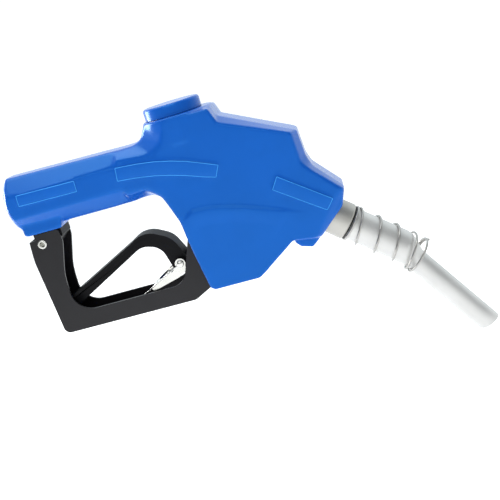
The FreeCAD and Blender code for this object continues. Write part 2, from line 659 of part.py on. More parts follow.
def spout_collar():
    """Threaded collar that locks the spout into the barrel."""
    visible = cylinder(spout_point(-31.5), SPOUT_DIR, COLLAR_R, COLLAR_FACE + 31.5)
    spigot = cylinder(spout_point(-56), SPOUT_DIR, 13.95, 30)
    body = fuse([visible, spigot])
    body = body.cut(cylinder(spout_point(-60), SPOUT_DIR, 10.0, 50))
    body = body.cut(cylinder(spout_point(-40), SPOUT_DIR, 12.0, 40))
    down = SPOUT_UP * -1
    return body.cut(cylinder(spout_point(-21.5), down, 2.1, 30))


def spout_screw():
    """Set screw in the underside of the collar."""
    down = SPOUT_UP * -1
    return cylinder(spout_point(-21.5) + down * 12.0, down, 2.05, 4.0)


def spout_ring():
    """Dark seal between the collar and the spout's shoulder."""
    return tube(spout_point(COLLAR_FACE), SPOUT_DIR, 15.6, 12.0, 1.4)


def reducer(grow):
    """Swaged step from the base tube down to the bent tip, its radii changed by grow."""
    stations = [
        (spout_point(40), SPOUT_DIR, BASE_R),
        (spout_point(44.5, -0.9), (SPOUT_DIR * 3 + TIP_DIR), 14.0),
        (spout_point(49.5, -3.2), (SPOUT_DIR + TIP_DIR * 2), 12.0),
        (BEND + TIP_DIR * 23, TIP_DIR, TIP_R),
    ]
    wires = [Part.Wire(Part.makeCircle(r + grow, centre, axis)) for centre, axis, r in stations]
    return Part.makeLoft(wires, True, False)


def spout_tube():
    """Aluminium spout: spigot, base tube, swaged bend and 13/16 inch tip cut a little askew."""
    base_start = COLLAR_FACE + 1.4
    outside = fuse([
        cylinder(spout_point(-38), SPOUT_DIR, 11.95, 38 + base_start + 1),
        cylinder(spout_point(base_start), SPOUT_DIR, BASE_R, 40 - base_start),
        reducer(0.0),
        cylinder(BEND + TIP_DIR * 23, TIP_DIR, TIP_R, TIP_LENGTH - 23),
    ])
    inside = fuse([
        cylinder(spout_point(-39), SPOUT_DIR, 10.2, 60),
        cylinder(spout_point(0), SPOUT_DIR, BASE_R - SPOUT_WALL, 40),
        reducer(-SPOUT_WALL),
        cylinder(BEND + TIP_DIR * 23, TIP_DIR, TIP_R - SPOUT_WALL, TIP_LENGTH),
    ])
    body = outside.cut(inside)
    tip = BEND + TIP_DIR * TIP_LENGTH
    bevel_dir = V(math.cos(TIP_SLOPE + math.radians(10)), 0, -math.sin(TIP_SLOPE + math.radians(10)))
    body = body.cut(cylinder(tip - bevel_dir * 1.8, bevel_dir, 40, 30))
    tip_up = V(math.sin(TIP_SLOPE), 0, math.cos(TIP_SLOPE))
    port = cylinder(BEND + TIP_DIR * (TIP_LENGTH - 17), tip_up * -1, 1.6, 20)
    return body.cut(port)


def vent_tube():
    """Sensing tube inside the spout, from the collar to the port near the tip."""
    start = spout_point(-36, -5.5)
    tip_up = V(math.sin(TIP_SLOPE), 0, math.cos(TIP_SLOPE))
    end = BEND + TIP_DIR * (TIP_LENGTH - 15) + tip_up * -5.9
    bend_in, bend_out = spout_point(22, -5.5), BEND + TIP_DIR * 20 + tip_up * -5.9
    line_in = Part.LineSegment(start, bend_in)
    knee = line_crossing(start, SPOUT_DIR, end, TIP_DIR)
    reach = min((knee - bend_in).Length, (bend_out - knee).Length)
    arc_in, arc_out = knee - SPOUT_DIR * reach, knee + TIP_DIR * reach
    half_turn = (TIP_SLOPE - SPOUT_SLOPE) / 2
    inward = (TIP_DIR - SPOUT_DIR).normalize()
    sag = reach / math.tan(half_turn) * (1 / math.cos(half_turn) - 1)
    path = Part.Wire([
        Part.LineSegment(start, arc_in).toShape(),
        Part.Arc(arc_in, knee + inward * sag, arc_out).toShape(),
        Part.LineSegment(arc_out, end).toShape(),
    ])
    outer = Part.Wire(Part.makeCircle(2.2, start, SPOUT_DIR))
    inner = Part.Wire(Part.makeCircle(1.4, start, SPOUT_DIR))
    return path.makePipeShell([outer], True, True).cut(path.makePipeShell([inner], True, True))


def line_crossing(a, along_a, b, along_b):
    """Where two lines in the XZ plane cross."""
    det = along_a.x * -along_b.z + along_b.x * along_a.z
    gap = b - a
    reach = (gap.x * -along_b.z + along_b.x * gap.z) / det
    return a + along_a * reach


def spout_spring():
    """Anchor spring wound round the base of the spout."""
    sink = math.radians(0.6)
    axis = SPOUT_DIR * math.cos(sink) - SPOUT_UP * math.sin(sink)
    return coil(spout_point(COLLAR_FACE + 2.9, 0.3), axis, 16.1, 1.0, 60.0, 3.4)


def main_spring():
    return coil(VALVE + V(0, 0, SEAL_BASE + 7.5), Z_AXIS, 8.2, 0.9, 37.0, 6)


def diaphragm_spring():
    return coil(plunger_point(-9.4), PLUNGER_DIR, 7.6, 0.5, 6.1, 3)


def plunger_spring():
    return coil(plunger_point(61.9), PLUNGER_DIR, 7.8, 0.75, 13.2, 4)


def check_spring():
    return coil(spout_point(CHECK_FACE + 3.7), SPOUT_DIR, 4.6, 0.6, 15.4, 5)


def cap_o_ring():
    return ring(VALVE + V(0, 0, 28.5), Z_AXIS, 19.25, 1.05)


PARTS = {
    "valve_body": valve_body,
    "scuff_cover": scuff_cover,
    "cap_cover": cap_cover,
    "lug_sleeve": lug_sleeve,
    "main_cap": main_cap,
    "cap_o_ring": cap_o_ring,
    "main_seat": main_seat,
    "main_spring": main_spring,
    "main_poppet": main_poppet,
    "poppet_seal": poppet_seal,
    "valve_stem": valve_stem,
    "stem_nut": stem_nut,
    "stem_packing": stem_packing,
    "packing_nut": packing_nut,
    "diaphragm_cap": diaphragm_cap,
    "diaphragm_cap_screws": diaphragm_cap_screws,
    "diaphragm_spring": diaphragm_spring,
    "diaphragm": diaphragm,
    "diaphragm_plates": diaphragm_plates,
    "latch_pin": latch_pin,
    "latch_balls": latch_balls,
    "plunger": plunger,
    "plunger_spring": plunger_spring,
    "plunger_retainer": plunger_retainer,
    "lever": lever,
    "lever_pin": lever_pin,
    "lever_pad": lever_pad,
    "hold_open_clip": hold_open_clip,
    "clip_pin": clip_pin,
    "clip_spring": clip_spring,
    "hand_guard": hand_guard,
    "guard_rivet": guard_rivet,
    "guard_screws": guard_screw,
    "check_seat": check_seat,
    "check_poppet": check_poppet,
    "check_spring": check_spring,
    "check_guide": check_guide,
    "spout_collar": spout_collar,
    "spout_screw": spout_screw,
    "spout_ring": spout_ring,
    "spout_tube": spout_tube,
    "spout_spring": spout_spring,
    "vent_tube": vent_tube,
}

os.makedirs("parts", exist_ok=True)
for name, build in PARTS.items():
    shape = build()
    shape.exportStep(os.path.join("parts", name + ".step"))
    print(f"{name:22s} solids {len(shape.Solids):2d} valid {shape.isValid()} volume {shape.Volume:10.1f}")
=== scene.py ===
import json
import math

import bmesh
import bpy
from mathutils import Matrix, Vector
from mathutils.bvhtree import BVHTree


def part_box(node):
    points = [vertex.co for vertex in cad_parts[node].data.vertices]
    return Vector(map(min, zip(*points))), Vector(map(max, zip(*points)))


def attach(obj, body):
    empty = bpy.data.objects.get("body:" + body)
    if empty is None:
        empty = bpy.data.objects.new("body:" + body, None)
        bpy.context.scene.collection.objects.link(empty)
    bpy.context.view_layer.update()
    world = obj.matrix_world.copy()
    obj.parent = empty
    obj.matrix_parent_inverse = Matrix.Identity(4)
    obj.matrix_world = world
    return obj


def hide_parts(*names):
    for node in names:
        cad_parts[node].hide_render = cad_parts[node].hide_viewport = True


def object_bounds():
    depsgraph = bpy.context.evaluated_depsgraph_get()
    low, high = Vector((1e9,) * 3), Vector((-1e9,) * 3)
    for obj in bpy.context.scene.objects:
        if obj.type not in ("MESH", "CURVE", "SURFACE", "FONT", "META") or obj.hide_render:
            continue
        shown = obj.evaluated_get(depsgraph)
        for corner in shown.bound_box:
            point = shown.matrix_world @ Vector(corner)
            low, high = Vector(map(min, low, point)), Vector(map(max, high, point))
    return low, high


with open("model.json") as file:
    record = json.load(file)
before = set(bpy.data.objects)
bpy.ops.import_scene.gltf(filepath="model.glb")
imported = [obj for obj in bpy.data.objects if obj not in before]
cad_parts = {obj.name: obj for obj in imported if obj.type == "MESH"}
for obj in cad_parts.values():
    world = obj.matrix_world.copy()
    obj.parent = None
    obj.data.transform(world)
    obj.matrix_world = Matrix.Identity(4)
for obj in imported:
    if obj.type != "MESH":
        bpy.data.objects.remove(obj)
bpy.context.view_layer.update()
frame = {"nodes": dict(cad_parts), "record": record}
record = frame["record"]
nodes = frame["nodes"]
joints = {joint["name"]: joint for joint in record["behaviour"]["joints"]}
mounts = {mount["name"]: mount for mount in record["mounts"]}

MM = 0.001
UP = Vector((0, 0, 1))
ACROSS = Vector((0, 1, 0))

# ---- Axes of the object, in millimetres ---------------------------------------------------
SPOUT_DIR = Vector(joints["check_open"]["axis"])
SPOUT_UP = Vector((-SPOUT_DIR.z, 0, SPOUT_DIR.x))
TIP_DIR = Vector(mounts["spout_tip"]["axis"])
SPOUT_ORIGIN = Vector((298.0, 0, -106.0))
BEND_AT = 33.65
BEND = SPOUT_ORIGIN + SPOUT_DIR * BEND_AT
CLIP_PIVOT = Vector(joints["clip_swing"]["pos_m"]) / MM
RIVET = sum(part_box("guard_rivet"), Vector()) / 2 / MM
RIVET.y = 0
CAP_LOW, CAP_HIGH = [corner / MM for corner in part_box("cap_cover")]
CAP_CENTRE = (CAP_LOW + CAP_HIGH) / 2


def spout_point(along, up=0.0):
    return SPOUT_ORIGIN + SPOUT_DIR * along + SPOUT_UP * up


# ---- Materials ----------------------------------------------------------------------------
CLOUD_SCALE = 28.0
RELIEF_DEPTH = 0.0002


def material(name, colour, rough, metal=0.0, grain=400.0, rough_swing=0.05, bump=0.0, tone=0.06,
             specular=0.5, tint=(1, 1, 1)):
    """A surface with a slightly varied tone, roughness and relief."""
    made = bpy.data.materials.new(name)
    made.use_nodes = True
    tree = made.node_tree
    shader = tree.nodes["Principled BSDF"]
    shader.inputs["Metallic"].default_value = metal
    shader.inputs["Specular IOR Level"].default_value = specular
    shader.inputs["Specular Tint"].default_value = (*tint, 1)
    place = tree.nodes.new("ShaderNodeTexCoord")

    cloud = tree.nodes.new("ShaderNodeTexNoise")
    cloud.inputs["Scale"].default_value = CLOUD_SCALE
    cloud.inputs["Detail"].default_value = 3.0
    tree.links.new(place.outputs["Object"], cloud.inputs["Vector"])
    fine = tree.nodes.new("ShaderNodeTexNoise")
    fine.inputs["Scale"].default_value = grain
    fine.inputs["Detail"].default_value = 4.0
    tree.links.new(place.outputs["Object"], fine.inputs["Vector"])

    ramp = tree.nodes.new("ShaderNodeValToRGB")
    dark = [max(0.0, c * (1 - tone)) for c in colour]
    light = [min(1.0, c * (1 + tone)) for c in colour]
    ramp.color_ramp.elements[0].position = 0.3
    ramp.color_ramp.elements[0].color = (*dark, 1)
    ramp.color_ramp.elements[1].position = 0.7
    ramp.color_ramp.elements[1].color = (*light, 1)
    tree.links.new(cloud.outputs["Fac"], ramp.inputs["Fac"])
    tree.links.new(ramp.outputs["Color"], shader.inputs["Base Color"])

    spread = tree.nodes.new("ShaderNodeMapRange")
    spread.inputs["To Min"].default_value = max(0.02, rough - rough_swing)
    spread.inputs["To Max"].default_value = min(1.0, rough + rough_swing)
    tree.links.new(fine.outputs["Fac"], spread.inputs["Value"])
    tree.links.new(spread.outputs["Result"], shader.inputs["Roughness"])

    if bump:
        relief = tree.nodes.new("ShaderNodeBump")
        relief.inputs["Strength"].default_value = bump
        relief.inputs["Distance"].default_value = RELIEF_DEPTH
        tree.links.new(fine.outputs["Fac"], relief.inputs["Height"])
        tree.links.new(relief.outputs["Normal"], shader.inputs["Normal"])
    return made


SHEEN = (0.15, 0.62, 1.0)
BLUE = material("blue_vinyl", (0.007, 0.098, 0.50), 0.22, grain=160, rough_swing=0.02, tone=0.04,
                specular=0.6, tint=SHEEN)
BLUE_PAD = material("blue_pad", (0.009, 0.112, 0.535), 0.30, grain=1200, bump=0.12, tone=0.04,
                    specular=0.6, tint=SHEEN)
# The panels' bead is a lighter copy of the cover's blue: a painted highlight along the edge.
RIM_HIGHLIGHT_BLUE = material("blue_rim_painted_highlight", (0.05, 0.33, 0.86), 0.25, grain=1200, tone=0.04, specular=0.9, tint=SHEEN)
CAST = material("cast_aluminium", (0.47, 0.455, 0.42), 0.42, metal=0.8, grain=1500, bump=0.3, tone=0.12)
TURNED = material("turned_aluminium", (0.66, 0.65, 0.63), 0.42, metal=0.6, grain=500, bump=0.08, tone=0.05)
BLACK = material("black_coat", (0.011, 0.010, 0.012), 0.34, grain=1400, bump=0.15, tone=0.15, specular=0.3)
LEVER_BLACK = material("black_lever", (0.006, 0.006, 0.007), 0.45, grain=1400, bump=0.08, tone=0.15,
                       specular=0.1)
ZINC = material("zinc_steel", (0.66, 0.65, 0.61), 0.24, metal=1.0, grain=700, bump=0.1, tone=0.1)
WIRE = material("zinc_wire", (0.40, 0.39, 0.37), 0.30, metal=1.0, grain=700, bump=0.1, tone=0.1)
STEEL = material("steel", (0.50, 0.51, 0.52), 0.3, metal=1.0, grain=700, bump=0.1, tone=0.1)
SPRING = material("spring_steel", (0.62, 0.62, 0.60), 0.25, metal=1.0, grain=900, bump=0.1, tone=0.12)
RUBBER = material("rubber", (0.015, 0.015, 0.015), 0.6, grain=900, bump=0.2)
BRASS = material("brass", (0.60, 0.42, 0.16), 0.3, metal=1.0, grain=600, bump=0.1)
ACETAL = material("acetal", (0.75, 0.73, 0.68), 0.4, grain=600, bump=0.1)
BY_SLOT = {
    "blue_vinyl": BLUE, "cast_aluminium": CAST, "turned_aluminium": TURNED, "black_coat": BLACK,
    "black_lever": LEVER_BLACK, "zinc_steel": ZINC, "steel": STEEL, "spring_steel": SPRING, "rubber": RUBBER,
    "brass": BRASS, "acetal": ACETAL,
}
SLOT_OF = {entry["node"]: entry["material_slot"] for entry in record["subparts"]}
BODY_OF = {node: body for body, group in record["behaviour"]["bodies"].items() for node in group}
for node_name, node in nodes.items():
    node.data.materials.clear()
    node.data.materials.append(BY_SLOT[SLOT_OF[node_name]])


# ---- Mesh tools ---------------------------------------------------------------------------
def new_object(name, data, surface):
    made = bpy.data.objects.new(name, data)
    bpy.context.scene.collection.objects.link(made)
    data.materials.clear()
    data.materials.append(surface)
    return made


def mesh_object(name, points, faces, surface):
    """An object from points in millimetres, its faces turned outwards."""
    data = bpy.data.meshes.new(name)
    data.from_pydata([Vector(p) * MM for p in points], [], faces)
    shape = bmesh.new()
    shape.from_mesh(data)
    bmesh.ops.remove_doubles(shape, verts=shape.verts, dist=1e-7)
    bmesh.ops.recalc_face_normals(shape, faces=shape.faces)
    shape.to_mesh(data)
    shape.free()
    return new_object(name, data, surface)


def apply_modifiers(target):
    """The object's mesh with its modifiers in it."""
    bpy.context.view_layer.update()
    graph = bpy.context.evaluated_depsgraph_get()
    data = bpy.data.meshes.new_from_object(target.evaluated_get(graph))
    old = target.data
    target.modifiers.clear()
    target.data = data
    bpy.data.meshes.remove(old)
    return target


def combine(target, tools, operation):
    """Cuts the tools from the target, or joins them to it, then throws the tools away."""
    for tool in tools:
        step = target.modifiers.new("step", "BOOLEAN")
        step.solver = "EXACT"
        step.operation = operation
        step.object = tool
        apply_modifiers(target)
        bpy.data.objects.remove(tool)
    return target


def soften(target, width, angle=35.0, segments=3):
    """Rounds the sharp edges and shades the rest smooth."""
    rounding = target.modifiers.new("rounding", "BEVEL")
    rounding.width = width * MM
    rounding.segments = segments
    rounding.limit_method = "ANGLE"
    rounding.angle_limit = math.radians(angle)
    rounding.harden_normals = True
    apply_modifiers(target)
    target.data.shade_smooth()
    weighted = target.modifiers.new("weighted", "WEIGHTED_NORMAL")
    weighted.keep_sharp = True
    return apply_modifiers(target)


def place_piece(target, *stands_for, body=None):
    """Puts a piece on the body of the CAD nodes that it stands for."""
    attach(target, body or BODY_OF[stands_for[0]])
    if stands_for:
        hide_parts(*stands_for)


def rounded(corners, step=6.0):
    """Points of a closed outline. A corner is (x, z) or (x, z, radius)."""
    points = []
    count = len(corners)
    for i in range(count):
        here = Vector(corners[i][:2])
        radius = corners[i][2] if len(corners[i]) > 2 else 0
        before = Vector(corners[i - 1][:2])
        after = Vector(corners[(i + 1) % count][:2])
        into, out = (before - here).normalized(), (after - here).normalized()
        opening = into.angle(out)
        if not radius or opening > math.radians(178):
            points.append(here)
            continue
        centre = here + (into + out).normalized() * (radius / math.sin(opening / 2))
        reach = radius / math.tan(opening / 2)
        first, last = here + into * reach - centre, here + out * reach - centre
        sweep = math.atan2(first.cross(last), first.dot(last))
        pieces = max(2, int(abs(math.degrees(sweep)) / step))
        for k in range(pieces + 1):
            turn = Matrix.Rotation(sweep * k / pieces, 2)
            points.append(centre + turn @ first)
    return points


def prism(name, corners, low, high, surface):
    """An outline in XZ, extruded from y = low to y = high."""
    outline = rounded(corners)
    count = len(outline)
    points = [(p.x, low, p.y) for p in outline] + [(p.x, high, p.y) for p in outline]
    faces = [list(range(count)), list(range(2 * count - 1, count - 1, -1))]
    faces += [[i, (i + 1) % count, count + (i + 1) % count, count + i] for i in range(count)]
    return mesh_object(name, points, faces, surface)


def frame_of(axis):
    """Two directions square to an axis. The first one leans up."""
    axis = Vector(axis).normalized()
    side = axis.cross(UP)
    side = side.normalized() if side.length > 1e-6 else ACROSS.copy()
    return side.cross(axis).normalized(), side


def circle(centre, first, second, radius, around):
    """Points round a centre, from the first direction towards the second."""
    turns = [2 * math.pi * k / around for k in range(around)]
    return [centre + first * (radius * math.cos(turn)) + second * (radius * math.sin(turn)) for turn in turns]


def ring_faces(rows, around, closed):
    """Faces between rows of points. The two ends are capped unless the rows close on themselves."""
    faces = []
    for row in range(rows if closed else rows - 1):
        upper = (row + 1) % rows
        for k in range(around):
            after = (k + 1) % around
            faces.append([row * around + k, row * around + after, upper * around + after, upper * around + k])
    if not closed:
        faces.append(list(range(around)))
        faces.append(list(range((rows - 1) * around, rows * around)))
    return faces


def lathe(name, origin, axis, profile, surface, around=96, closed=True):
    """A turned shape. The profile's points are (place along the axis, radius)."""
    axis = Vector(axis).normalized()
    first, second = frame_of(axis)
    points = []
    for along, radius in profile:
        points += circle(Vector(origin) + axis * along, first, second, radius, around)
    return mesh_object(name, points, ring_faces(len(profile), around, closed), surface)


def sweep(name, rings, surface, around):
    """A skin over rings of (centre, axis, radius) that closes on itself."""
    points = []
    for centre, axis, radius in rings:
        axis = Vector(axis).normalized()
        first = ACROSS.cross(axis).normalized() if abs(axis.y) < 0.999 else UP.copy()
        second = axis.cross(first)
        points += circle(Vector(centre), first, second, radius, around)
    return mesh_object(name, points, ring_faces(len(rings), around, True), surface)


def wire(name, path, radius, surface, around=14):
    """A round wire along a path, its section carried along without twist."""
    points = []
    path = [Vector(p) for p in path]
    normal = None
    for i, here in enumerate(path):
        ahead = (path[min(i + 1, len(path) - 1)] - path[max(i - 1, 0)]).normalized()
        if normal is None:
            normal = frame_of(ahead)[0]
        normal = (normal - ahead * normal.dot(ahead)).normalized()
        points += circle(here, normal, ahead.cross(normal), radius, around)
    made = mesh_object(name, points, ring_faces(len(path), around, False), surface)
    made.data.shade_smooth()
    return made


def smooth_by_angle(target, degrees=35.0):
    target.data.shade_smooth()
    target.data.set_sharp_from_angle(angle=math.radians(degrees))


# ---- Scuff cover --------------------------------------------------------------------------
# The soft crease along the cover's side, as (x, z), and how far the side swells below it.
BELT = [(150, -50), (155.8, -45.6), (161.6, -42.8), (174.6, -43.5), (186.9, -46), (203.8, -50.8),
        (220.7, -57), (238.3, -64.2), (258.1, -72.8), (275, -79)]
BELT_SWELL = 1.3


def line_height(line, x):
    """Height of a broken line at x."""
    for (x0, z0), (x1, z1) in zip(line, line[1:]):
        if x <= x1:
            return z0 + (z1 - z0) * max(0.0, (x - x0)) / (x1 - x0)
    return line[-1][1]


def smooth_step(low, high, value):
    part = min(1.0, max(0.0, (value - low) / (high - low)))
    return part * part * (3 - 2 * part)


def belt_swell(x, z):
    """How far the cover's side stands out along the belt, which falls away from a soft crease."""
    below = line_height(BELT, x) - z
    rise = smooth_step(-1.5, 3.0, below) * (1 - smooth_step(4.0, 18.0, below))
    ends = smooth_step(149, 160, x) * (1 - smooth_step(215, 262, x))
    return BELT_SWELL * rise * ends


def make_cover():
    """The moulded jacket: the CAD cover with its edges rounded, most at the nose and the throat."""
    source = nodes["scuff_cover"].data.copy()
    shape = bmesh.new()
    shape.from_mesh(source)
    bmesh.ops.remove_doubles(shape, verts=shape.verts, dist=1e-6)
    shape.to_mesh(source)
    shape.free()
    cover = new_object("cover_skin", source, BLUE)
    remesh = cover.modifiers.new("remesh", "REMESH")
    remesh.mode = "VOXEL"
    remesh.voxel_size = 0.9 * MM
    relax = cover.modifiers.new("relax", "SMOOTH")
    relax.factor = 0.5
    relax.iterations = 22
    apply_modifiers(cover)
    blend = cover.vertex_groups.new(name="blend")
    for vertex in cover.data.vertices:
        x, y, z = vertex.co / MM
        along = (vertex.co / MM - SPOUT_ORIGIN).dot(SPOUT_DIR)
        nose = smooth_step(-48, -38, along) * smooth_step(15, 19, abs(y))
        throat = smooth_step(92, 104, x) * (1 - smooth_step(148, 162, x)) * smooth_step(-36, -28, z)
        blend.add([vertex.index], max(nose, throat), "REPLACE")
    ease = cover.modifiers.new("ease", "SMOOTH")
    ease.factor = 0.5
    ease.iterations = 36
    ease.vertex_group = "blend"
    apply_modifiers(cover)
    for vertex in cover.data.vertices:
        x, y, z = vertex.co / MM
        if abs(y) > 18 and x > 148:
            vertex.co.y += math.copysign(belt_swell(x, z) * smooth_step(18, 26, abs(y)) * MM, y)
    cover.data.shade_smooth()
    return cover


cover = make_cover()
place_piece(cover, "scuff_cover")

PADS = {
    "pad_grip": [(14, 0.5, 0.6), (14.6, 10, 0.6), (68.6, 8.6, 0.6), (68, -0.8, 0.6)],
    "pad_middle": [(105.5, -2, 0.6), (107, 9.2, 0.6), (126, 8), (142.5, 6), (156, 2.9), (168.5, -0.9),
                   (181.7, -6.2), (194.3, -11.6, 0.6), (189.5, -21, 0.6), (178.2, -17.4), (164.5, -12.3),
                   (152, -8.7), (139, -5.6), (122, -3.4)],
    "pad_front": [(232.6, -44.9, 0.6), (239, -35, 0.6), (279.8, -66.7, 0.6), (272.8, -75, 0.6)],
}


PAD_GRID = 2.5 * MM
PAD_RISE = 0.45 * MM
PAD_DEPTH = 1.6 * MM
RIM_RADIUS = 0.32
RIM_OUT = 0.42
OUTSIDE = 0.06


def make_pad(name, corners, side, skin):
    """A raised blank panel laid on the cover's side, -1 for the near side and 1 for the far side."""
    shape = bmesh.new()
    outline = [shape.verts.new((p.x * MM, 0, p.y * MM)) for p in rounded(corners, 20)]
    shape.faces.new(outline)
    xs = [v.co.x for v in shape.verts]
    zs = [v.co.z for v in shape.verts]
    for low, high, normal in ((min(xs), max(xs), Vector((1, 0, 0))), (min(zs), max(zs), UP)):
        at = low + PAD_GRID
        while at < high:
            everything = shape.verts[:] + shape.edges[:] + shape.faces[:]
            bmesh.ops.bisect_plane(shape, geom=everything, plane_co=normal * at, plane_no=normal)
            at += PAD_GRID
    for vertex in shape.verts:
        start = Vector((vertex.co.x, side * OUTSIDE, vertex.co.z))
        hit = skin.ray_cast(start, Vector((0, -side, 0)))[0]
        vertex.co.y = hit.y + side * PAD_RISE
    rim = [edge for edge in shape.edges if edge.is_boundary]
    grown = bmesh.ops.extrude_edge_only(shape, edges=rim)
    for item in grown["geom"]:
        if isinstance(item, bmesh.types.BMVert):
            item.co.y -= side * PAD_DEPTH
    bmesh.ops.holes_fill(shape, edges=[e for e in shape.edges if e.is_boundary])
    bmesh.ops.recalc_face_normals(shape, faces=shape.faces)
    data = bpy.data.meshes.new(name)
    shape.to_mesh(data)
    shape.free()
    pad = new_object(name, data, BLUE_PAD)
    return soften(pad, 0.22, 50, 2)


def make_rim(name, corners, side, skin):
    """A fine moulded bead round a panel's edge, as a closed wire on the cover's side, lighter blue as a
    painted highlight.
    """
    outline = rounded(corners, 20)
    path = []
    for start, end in zip(outline, outline[1:] + outline[:1]):
        pieces = max(1, round((end - start).length / 2.5))
        path += [start.lerp(end, k / pieces) for k in range(pieces)]
    rings = []
    for place in path:
        hit = skin.ray_cast(Vector((place.x * MM, side * OUTSIDE, place.y * MM)), Vector((0, -side, 0)))[0]
        rings.append(Vector((place.x, hit.y / MM + side * RIM_OUT, place.y)))
    points = []
    for i, here in enumerate(rings):
        ahead = (rings[(i + 1) % len(rings)] - rings[i - 1]).normalized()
        inward = ahead.cross(ACROSS).normalized()
        points += circle(here, inward, ACROSS, RIM_RADIUS, 8)
    made = mesh_object(name, points, ring_faces(len(rings), 8, True), RIM_HIGHLIGHT_BLUE)
    made.data.shade_smooth()
    return made


skin_tree = BVHTree.FromPolygons([v.co.copy() for v in cover.data.vertices],
                                 [list(p.vertices) for p in cover.data.polygons])
for pad_name, pad_corners in PADS.items():
    for side, tag in ((-1, "near"), (1, "far")):
        pad = make_pad(pad_name + "_" + tag, pad_corners, side, skin_tree)
        rim = make_rim(pad_name + "_rim_" + tag, pad_corners, side, skin_tree)
        for piece in (pad, rim):
            place_piece(piece, body="body")

# ---- Cap cover ----------------------------------------------------------------------------
CAP_EDGE = 2.8
CAP_INNER = 22.6
AXIS_GAP = 0.01
cap_r = min((CAP_HIGH.x - CAP_LOW.x) / 2, 25.4)
cap_top, cap_low = CAP_HIGH.z, CAP_LOW.z
cap_profile = [(cap_low, CAP_INNER), (cap_low, cap_r - 0.5), (cap_low + 0.3, cap_r)]
cap_profile += [(cap_top - CAP_EDGE + CAP_EDGE * math.sin(a), cap_r - CAP_EDGE + CAP_EDGE * math.cos(a))
                for a in [math.radians(10 * k) for k in range(10)]]
cap_profile += [(cap_top - 0.15, cap_r - 6.0), (cap_top - 0.2, AXIS_GAP)]
cap_profile += [(cap_top - 3.0, AXIS_GAP), (cap_top - 3.0, CAP_INNER)]
cap = lathe("cap_disc", (CAP_CENTRE.x, 0, 0), UP, cap_profile, BLUE, around=128)
smooth_by_angle(cap)
place_piece(cap, "cap_cover")

# ---- Hand guard ---------------------------------------------------------------------------
GUARD_HALF = 15.2
GUARD_WALL = 2.0
RIVET_R = 3.6
GUARD_OUTLINE = [(13.2, -29.6, 1), (36.5, -29.6, 3), (37.2, -41, 20), (27.5, -72, 60), (25.5, -109.6, 19),
                 (130.6, -109.6, 16), (149.5, -62), (166, -62), (168, -106), (153, -118.6), (137, -126.5, 10),
                 (9.5, -126.5, 6), (5.2, -53, 60), (7, -34.6, 1), (13.2, -34.6, 1)]
GUARD_HOLLOW = [(-5, -20), (7.2, -34.6), (7.2, -53, 50), (11.6, -124.5, 4), (136.4, -124.5, 10),
                (152.4, -116.4), (160, -110.6), (172, -110), (172, -20)]
guard = prism("guard_channel", GUARD_OUTLINE, -GUARD_HALF, GUARD_HALF, BLACK)
combine(guard, [
    prism("hollow", GUARD_HOLLOW, -GUARD_HALF + GUARD_WALL, GUARD_HALF - GUARD_WALL, BLACK),
    prism("window", [(97, -130), (139, -130), (139, -120), (97, -120)], -12.4, 12.4, BLACK),
    lathe("rivet_hole", (RIVET.x, -30, RIVET.z), ACROSS, [(0, RIVET_R), (60, RIVET_R)], BLACK, 48,
          closed=False),
], "DIFFERENCE")
soften(guard, 0.7, 40)
place_piece(guard, "hand_guard")

rivet_profile = [(-15.95, 2.4), (-16.1, 2.7), (-16.1, 3.5), (-15.8, 4.05), (-15.3, 4.1),
                 (-GUARD_HALF, RIVET_R), (GUARD_HALF, RIVET_R),
                 (15.3, 4.1), (15.8, 4.05), (16.1, 3.5), (16.1, 2.7), (15.95, 2.4)]
rivet = lathe("rivet", (RIVET.x, 0, RIVET.z), ACROSS, rivet_profile, ZINC, 64)
smooth_by_angle(rivet, 50)
place_piece(rivet, "guard_rivet")

# ---- Lever --------------------------------------------------------------------------------
LEVER_OUTLINE = [(19, -97.2, 2), (91.5, -62.9, 24), (108.5, -53.6, 22), (131, -66.0, 20), (141, -88, 8),
                 (207, -88, 5), (207, -101, 5), (133, -102, 8), (124, -95, 4), (118.6, -72.5, 15),
                 (101.5, -67.7, 15), (24, -107, 4)]
CORE_HALF, FLANGE_HALF, FORK_HALF = 6.0, 9.0, 6.3
FLANGE_DEPTH = 3.2
LEVER_FRONT = [(146, -88), (207, -88, 5), (207, -101, 5), (146, -101.85)]
FORK_GAP = [(186, -125), (226, -125), (226, -85), (186, -85)]
lever = prism("lever_core", LEVER_OUTLINE, -CORE_HALF, CORE_HALF, LEVER_BLACK)
flange = prism("flange", LEVER_OUTLINE, -FLANGE_HALF, FLANGE_HALF, LEVER_BLACK)
below = [(x, z - FLANGE_DEPTH, *radius) for x, z, *radius in LEVER_OUTLINE]
combine(flange, [prism("below", below, -30, 30, LEVER_BLACK)], "DIFFERENCE")
front = prism("front", LEVER_FRONT, -FLANGE_HALF, FLANGE_HALF, LEVER_BLACK)
combine(lever, [flange, front], "UNION")
combine(lever, [prism("fork", FORK_GAP, -FORK_HALF, FORK_HALF, LEVER_BLACK)], "DIFFERENCE")
soften(lever, 0.6, 40)
place_piece(lever, "lever")

